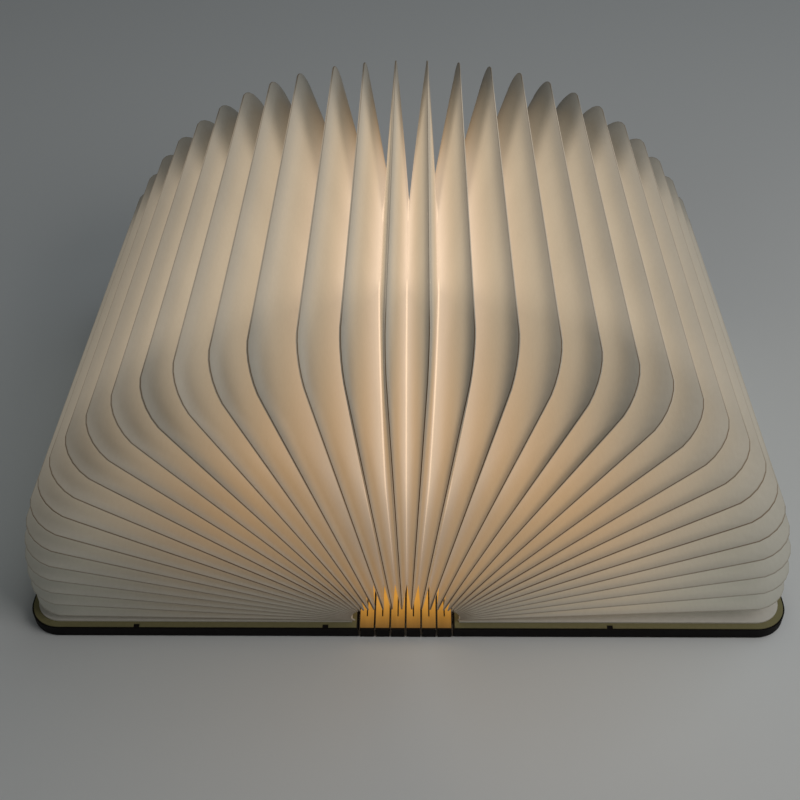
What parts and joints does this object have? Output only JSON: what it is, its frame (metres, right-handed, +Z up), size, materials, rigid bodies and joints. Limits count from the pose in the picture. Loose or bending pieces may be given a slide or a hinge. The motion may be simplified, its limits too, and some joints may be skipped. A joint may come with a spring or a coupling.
{
  "type": "book lamp",
  "caption": "Lamp shaped as a book: hinged wooden covers open flat and a fan of white paper leaves stands up and glows from the spine.",
  "frame": {"origin": "on the table under the middle of the spine, with the lamp open flat", "axes": "+X to the right across both covers, +Y along the spine away from the reader, +Z up"},
  "size_m": [0.286, 0.216, 0.1354],
  "materials": {
    "cover_wood": "matt black stained board",
    "spine_wood": "laser-cut thin wood",
    "cover_lining": "matt lining paper",
    "end_board": "white faced card",
    "leaf_paper": "soft spun paper",
    "core_plastic": "moulded",
    "diffuser": "milky",
    "circuit_board": "white solder mask",
    "led": "clear resin",
    "battery_wrap": "foil pouch",
    "chip": "moulded",
    "speaker": "moulded",
    "socket_steel": "formed sheet",
    "magnet": "plated"
  },
  "bodies": {
    "core": {"core_tray": "core_plastic", "core_diffuser": "diffuser", "led_board": "circuit_board", "leds": "led", "battery": "battery_wrap", "control_board": "circuit_board", "fold_sensor": "chip", "speaker_driver": "speaker", "charge_socket": "socket_steel", "paper_pleats": "leaf_paper"},
    "left_slat_1": {"left_spine_slat_1": "spine_wood"},
    "left_slat_2": {"left_spine_slat_2": "spine_wood"},
    "left_slat_3": {"left_spine_slat_3": "spine_wood"},
    "left_cover": {"left_cover": "cover_wood", "left_cover_facing": "cover_lining", "left_end_board": "end_board", "left_cover_magnets": "magnet"},
    "right_slat_1": {"right_spine_slat_1": "spine_wood"},
    "right_slat_2": {"right_spine_slat_2": "spine_wood"},
    "right_slat_3": {"right_spine_slat_3": "spine_wood"},
    "right_cover": {"right_cover": "cover_wood", "right_cover_facing": "cover_lining", "right_end_board": "end_board", "right_cover_magnets": "magnet"},
    "leaf_01": {"leaf_01": "leaf_paper"},
    "leaf_02": {"leaf_02": "leaf_paper"},
    "leaf_03": {"leaf_03": "leaf_paper"},
    "leaf_04": {"leaf_04": "leaf_paper"},
    "leaf_05": {"leaf_05": "leaf_paper"},
    "leaf_06": {"leaf_06": "leaf_paper"},
    "leaf_07": {"leaf_07": "leaf_paper"},
    "leaf_08": {"leaf_08": "leaf_paper"},
    "leaf_09": {"leaf_09": "leaf_paper"},
    "leaf_10": {"leaf_10": "leaf_paper"},
    "leaf_11": {"leaf_11": "leaf_paper"},
    "leaf_12": {"leaf_12": "leaf_paper"},
    "leaf_13": {"leaf_13": "leaf_paper"},
    "leaf_14": {"leaf_14": "leaf_paper"},
    "leaf_15": {"leaf_15": "leaf_paper"},
    "leaf_16": {"leaf_16": "leaf_paper"},
    "leaf_17": {"leaf_17": "leaf_paper"},
    "leaf_18": {"leaf_18": "leaf_paper"},
    "leaf_19": {"leaf_19": "leaf_paper"},
    "leaf_20": {"leaf_20": "leaf_paper"},
    "leaf_21": {"leaf_21": "leaf_paper"},
    "leaf_22": {"leaf_22": "leaf_paper"},
    "leaf_23": {"leaf_23": "leaf_paper"},
    "leaf_24": {"leaf_24": "leaf_paper"},
    "leaf_25": {"leaf_25": "leaf_paper"},
    "leaf_26": {"leaf_26": "leaf_paper"},
    "leaf_27": {"leaf_27": "leaf_paper"},
    "leaf_28": {"leaf_28": "leaf_paper"},
    "leaf_29": {"leaf_29": "leaf_paper"},
    "leaf_30": {"leaf_30": "leaf_paper"},
    "leaf_31": {"leaf_31": "leaf_paper"},
    "leaf_32": {"leaf_32": "leaf_paper"},
    "leaf_33": {"leaf_33": "leaf_paper"},
    "leaf_34": {"leaf_34": "leaf_paper"},
    "leaf_35": {"leaf_35": "leaf_paper"},
    "leaf_36": {"leaf_36": "leaf_paper"}
  },
  "joints": [
    {"name": "left_spine_bend_1", "type": "hinge", "parent": "core", "child": "left_slat_1", "pos_m": [0, 0, 0.0044], "axis": [0, 1, 0], "range_deg": [0, 12.91]},
    {"name": "left_spine_bend_2", "type": "hinge", "parent": "core", "child": "left_slat_2", "pos_m": [-0.00388, 0, 0.00484], "axis": [0, 1, 0], "range_deg": [0, 38.62]},
    {"name": "left_spine_bend_3", "type": "hinge", "parent": "core", "child": "left_slat_3", "pos_m": [-0.00699, 0, 0.00573], "axis": [0, 1, 0], "range_deg": [0, 64.34]},
    {"name": "left_cover_fold", "type": "hinge", "parent": "core", "child": "left_cover", "pos_m": [-0.00999, 0, 0.00712], "axis": [0, 1, 0], "range_deg": [0, 90], "deforming": ["paper_pleats"]},
    {"name": "right_spine_bend_1", "type": "hinge", "parent": "core", "child": "right_slat_1", "pos_m": [0, 0, 0.0044], "axis": [0, -1, 0], "range_deg": [0, 12.91]},
    {"name": "right_spine_bend_2", "type": "hinge", "parent": "core", "child": "right_slat_2", "pos_m": [0.00388, 0, 0.00484], "axis": [0, -1, 0], "range_deg": [0, 38.62]},
    {"name": "right_spine_bend_3", "type": "hinge", "parent": "core", "child": "right_slat_3", "pos_m": [0.00699, 0, 0.00573], "axis": [0, -1, 0], "range_deg": [0, 64.34]},
    {"name": "right_cover_fold", "type": "hinge", "parent": "core", "child": "right_cover", "pos_m": [0.00999, 0, 0.00712], "axis": [0, -1, 0], "range_deg": [0, 90]},
    {"name": "leaf_01_turn", "type": "hinge", "parent": "core", "child": "leaf_01", "pos_m": [-0.01094, 0, 0.00553], "axis": [0, 1, 0], "range_deg": [0, 88.85]},
    {"name": "leaf_02_turn", "type": "hinge", "parent": "core", "child": "leaf_02", "pos_m": [-0.01105, 0, 0.00471], "axis": [0, 1, 0], "range_deg": [0, 85.63]},
    {"name": "leaf_03_turn", "type": "hinge", "parent": "core", "child": "leaf_03", "pos_m": [-0.01096, 0, 0.004], "axis": [0, 1, 0], "range_deg": [0, 82.3]},
    {"name": "leaf_04_turn", "type": "hinge", "parent": "core", "child": "leaf_04", "pos_m": [-0.01077, 0, 0.00333], "axis": [0, 1, 0], "range_deg": [0, 78.74]},
    {"name": "leaf_05_turn", "type": "hinge", "parent": "core", "child": "leaf_05", "pos_m": [-0.01051, 0, 0.00263], "axis": [0, 1, 0], "range_deg": [0, 74.89]},
    {"name": "leaf_06_turn", "type": "hinge", "parent": "core", "child": "leaf_06", "pos_m": [-0.01023, 0, 0.00185], "axis": [0, 1, 0], "range_deg": [0, 70.68]},
    {"name": "leaf_07_turn", "type": "hinge", "parent": "core", "child": "leaf_07", "pos_m": [-0.00991, 0, 0.00095], "axis": [0, 1, 0], "range_deg": [0, 66.1]},
    {"name": "leaf_08_turn", "type": "hinge", "parent": "core", "child": "leaf_08", "pos_m": [-0.00958, 0, -0.00014], "axis": [0, 1, 0], "range_deg": [0, 61.01]},
    {"name": "leaf_09_turn", "type": "hinge", "parent": "core", "child": "leaf_09", "pos_m": [-0.00923, 0, -0.00147], "axis": [0, 1, 0], "range_deg": [0, 55.64]},
    {"name": "leaf_10_turn", "type": "hinge", "parent": "core", "child": "leaf_10", "pos_m": [-0.00884, 0, -0.00309], "axis": [0, 1, 0], "range_deg": [0, 50.06]},
    {"name": "leaf_11_turn", "type": "hinge", "parent": "core", "child": "leaf_11", "pos_m": [-0.00839, 0, -0.00506], "axis": [0, 1, 0], "range_deg": [0, 44.38]},
    {"name": "leaf_12_turn", "type": "hinge", "parent": "core", "child": "leaf_12", "pos_m": [-0.00785, 0, -0.00742], "axis": [0, 1, 0], "range_deg": [0, 38.68]},
    {"name": "leaf_13_turn", "type": "hinge", "parent": "core", "child": "leaf_13", "pos_m": [-0.00717, 0, -0.01019], "axis": [0, 1, 0], "range_deg": [0, 33.05]},
    {"name": "leaf_14_turn", "type": "hinge", "parent": "core", "child": "leaf_14", "pos_m": [-0.00629, 0, -0.01336], "axis": [0, 1, 0], "range_deg": [0, 27.57]},
    {"name": "leaf_15_turn", "type": "hinge", "parent": "core", "child": "leaf_15", "pos_m": [-0.00512, 0, -0.01684], "axis": [0, 1, 0], "range_deg": [0, 22.28]},
    {"name": "leaf_16_turn", "type": "hinge", "parent": "core", "child": "leaf_16", "pos_m": [-0.00355, 0, -0.0205], "axis": [0, 1, 0], "range_deg": [0, 17.19]},
    {"name": "leaf_17_turn", "type": "hinge", "parent": "core", "child": "leaf_17", "pos_m": [-0.00087, 0, -0.02442], "axis": [0, 1, 0], "range_deg": [0, 11.28]},
    {"name": "leaf_18_turn", "type": "hinge", "parent": "core", "child": "leaf_18", "pos_m": [0.00306, 0, -0.02847], "axis": [0, 1, 0], "range_deg": [0, 6.51]},
    {"name": "leaf_19_turn", "type": "hinge", "parent": "core", "child": "leaf_19", "pos_m": [0.01918, 0, -0.04202], "axis": [0, 1, 0], "range_deg": [0, 1.8]},
    {"name": "leaf_20_turn", "type": "hinge", "parent": "core", "child": "leaf_20", "pos_m": [-0.01019, 0, -0.0146], "axis": [0, -1, 0], "range_deg": [0, 3]},
    {"name": "leaf_21_turn", "type": "hinge", "parent": "core", "child": "leaf_21", "pos_m": [-0.00119, 0, -0.01956], "axis": [0, -1, 0], "range_deg": [0, 7.79]},
    {"name": "leaf_22_turn", "type": "hinge", "parent": "core", "child": "leaf_22", "pos_m": [0.00218, 0, -0.01875], "axis": [0, -1, 0], "range_deg": [0, 12.71]},
    {"name": "leaf_23_turn", "type": "hinge", "parent": "core", "child": "leaf_23", "pos_m": [0.00434, 0, -0.01644], "axis": [0, -1, 0], "range_deg": [0, 17.82]},
    {"name": "leaf_24_turn", "type": "hinge", "parent": "core", "child": "leaf_24", "pos_m": [0.00588, 0, -0.01356], "axis": [0, -1, 0], "range_deg": [0, 23.12]},
    {"name": "leaf_25_turn", "type": "hinge", "parent": "core", "child": "leaf_25", "pos_m": [0.00702, 0, -0.01059], "axis": [0, -1, 0], "range_deg": [0, 28.61]},
    {"name": "leaf_26_turn", "type": "hinge", "parent": "core", "child": "leaf_26", "pos_m": [0.00787, 0, -0.00782], "axis": [0, -1, 0], "range_deg": [0, 34.25]},
    {"name": "leaf_27_turn", "type": "hinge", "parent": "core", "child": "leaf_27", "pos_m": [0.00852, 0, -0.00538], "axis": [0, -1, 0], "range_deg": [0, 39.99]},
    {"name": "leaf_28_turn", "type": "hinge", "parent": "core", "child": "leaf_28", "pos_m": [0.00903, 0, -0.0033], "axis": [0, -1, 0], "range_deg": [0, 45.74]},
    {"name": "leaf_29_turn", "type": "hinge", "parent": "core", "child": "leaf_29", "pos_m": [0.00947, 0, -0.00157], "axis": [0, -1, 0], "range_deg": [0, 51.43]},
    {"name": "leaf_30_turn", "type": "hinge", "parent": "core", "child": "leaf_30", "pos_m": [0.00985, 0, -0.00015], "axis": [0, -1, 0], "range_deg": [0, 57]},
    {"name": "leaf_31_turn", "type": "hinge", "parent": "core", "child": "leaf_31", "pos_m": [0.01019, 0, 0.00103], "axis": [0, -1, 0], "range_deg": [0, 62.39]},
    {"name": "leaf_32_turn", "type": "hinge", "parent": "core", "child": "leaf_32", "pos_m": [0.01052, 0, 0.00201], "axis": [0, -1, 0], "range_deg": [0, 67.56]},
    {"name": "leaf_33_turn", "type": "hinge", "parent": "core", "child": "leaf_33", "pos_m": [0.01082, 0, 0.00284], "axis": [0, -1, 0], "range_deg": [0, 72.52]},
    {"name": "leaf_34_turn", "type": "hinge", "parent": "core", "child": "leaf_34", "pos_m": [0.01109, 0, 0.00359], "axis": [0, -1, 0], "range_deg": [0, 77.29]},
    {"name": "leaf_35_turn", "type": "hinge", "parent": "core", "child": "leaf_35", "pos_m": [0.01128, 0, 0.00431], "axis": [0, -1, 0], "range_deg": [0, 81.91]},
    {"name": "leaf_36_turn", "type": "hinge", "parent": "core", "child": "leaf_36", "pos_m": [0.01127, 0, 0.00514], "axis": [0, -1, 0], "range_deg": [0, 86.45]}
  ],
  "couplings": [
    {"joint": "left_spine_bend_1", "follows": "left_cover_fold", "ratio": 0.14286},
    {"joint": "left_spine_bend_2", "follows": "left_cover_fold", "ratio": 0.42857},
    {"joint": "left_spine_bend_3", "follows": "left_cover_fold", "ratio": 0.71429},
    {"joint": "right_spine_bend_1", "follows": "right_cover_fold", "ratio": 0.14286},
    {"joint": "right_spine_bend_2", "follows": "right_cover_fold", "ratio": 0.42857},
    {"joint": "right_spine_bend_3", "follows": "right_cover_fold", "ratio": 0.71429},
    {"joint": "leaf_01_turn", "follows": "left_cover_fold", "ratio": 0.98667},
    {"joint": "leaf_02_turn", "follows": "left_cover_fold", "ratio": 0.95093},
    {"joint": "leaf_03_turn", "follows": "left_cover_fold", "ratio": 0.91389},
    {"joint": "leaf_04_turn", "follows": "left_cover_fold", "ratio": 0.87438},
    {"joint": "leaf_05_turn", "follows": "left_cover_fold", "ratio": 0.83151},
    {"joint": "leaf_06_turn", "follows": "left_cover_fold", "ratio": 0.78472},
    {"joint": "leaf_07_turn", "follows": "left_cover_fold", "ratio": 0.73388},
    {"joint": "leaf_08_turn", "follows": "left_cover_fold", "ratio": 0.67737},
    {"joint": "leaf_09_turn", "follows": "left_cover_fold", "ratio": 0.61769},
    {"joint": "leaf_10_turn", "follows": "left_cover_fold", "ratio": 0.55572},
    {"joint": "leaf_11_turn", "follows": "left_cover_fold", "ratio": 0.49253},
    {"joint": "leaf_12_turn", "follows": "left_cover_fold", "ratio": 0.42919},
    {"joint": "leaf_13_turn", "follows": "left_cover_fold", "ratio": 0.36669},
    {"joint": "leaf_14_turn", "follows": "left_cover_fold", "ratio": 0.30582},
    {"joint": "leaf_15_turn", "follows": "left_cover_fold", "ratio": 0.24703},
    {"joint": "leaf_16_turn", "follows": "left_cover_fold", "ratio": 0.19046},
    {"joint": "leaf_17_turn", "follows": "left_cover_fold", "ratio": 0.12479},
    {"joint": "leaf_18_turn", "follows": "left_cover_fold", "ratio": 0.071735},
    {"joint": "leaf_19_turn", "follows": "left_cover_fold", "ratio": 0.019472},
    {"joint": "leaf_20_turn", "follows": "right_cover_fold", "ratio": 0.03283},
    {"joint": "leaf_21_turn", "follows": "right_cover_fold", "ratio": 0.085988},
    {"joint": "leaf_22_turn", "follows": "right_cover_fold", "ratio": 0.14069},
    {"joint": "leaf_23_turn", "follows": "right_cover_fold", "ratio": 0.19742},
    {"joint": "leaf_24_turn", "follows": "right_cover_fold", "ratio": 0.25635},
    {"joint": "leaf_25_turn", "follows": "right_cover_fold", "ratio": 0.31736},
    {"joint": "leaf_26_turn", "follows": "right_cover_fold", "ratio": 0.38005},
    {"joint": "leaf_27_turn", "follows": "right_cover_fold", "ratio": 0.44375},
    {"joint": "leaf_28_turn", "follows": "right_cover_fold", "ratio": 0.50766},
    {"joint": "leaf_29_turn", "follows": "right_cover_fold", "ratio": 0.57094},
    {"joint": "leaf_30_turn", "follows": "right_cover_fold", "ratio": 0.63281},
    {"joint": "leaf_31_turn", "follows": "right_cover_fold", "ratio": 0.69266},
    {"joint": "leaf_32_turn", "follows": "right_cover_fold", "ratio": 0.75015},
    {"joint": "leaf_33_turn", "follows": "right_cover_fold", "ratio": 0.80524},
    {"joint": "leaf_34_turn", "follows": "right_cover_fold", "ratio": 0.85818},
    {"joint": "leaf_35_turn", "follows": "right_cover_fold", "ratio": 0.90952},
    {"joint": "leaf_36_turn", "follows": "right_cover_fold", "ratio": 0.96}
  ]
}
